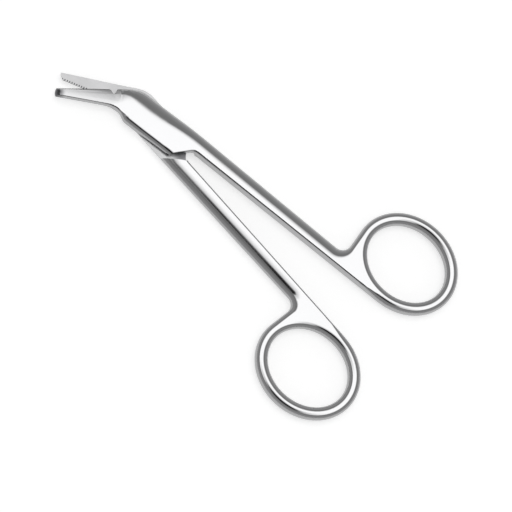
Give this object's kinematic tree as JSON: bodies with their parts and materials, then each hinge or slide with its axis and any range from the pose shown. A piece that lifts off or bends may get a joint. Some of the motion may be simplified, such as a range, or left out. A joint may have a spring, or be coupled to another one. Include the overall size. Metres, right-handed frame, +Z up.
{
  "type": "wire cutting scissors",
  "caption": "Angled steel scissors with finger rings, a plain blade with a wire notch, a serrated blade and a screw lap joint.",
  "frame": {"origin": "on the pivot axis, in the plane that the scissors lie on", "axes": "+X from the pivot towards the finger rings, halfway between them; +Y towards the ring of front_half; +Z up, from back_half to front_half"},
  "size_m": [0.1198, 0.0676, 0.0039],
  "materials": {
    "forged_steel": "satin ground, polished edges",
    "screw_steel": "satin turned"
  },
  "bodies": {
    "back": {"back_half": "forged_steel"},
    "front": {"front_half": "forged_steel", "pivot_screw": "screw_steel"}
  },
  "joints": [
    {"name": "pivot", "type": "hinge", "parent": "back", "child": "front", "pos_m": [0, 0, 0.00195], "axis": [0, 0, 1], "range_deg": [-9.9, 50]}
  ]
}
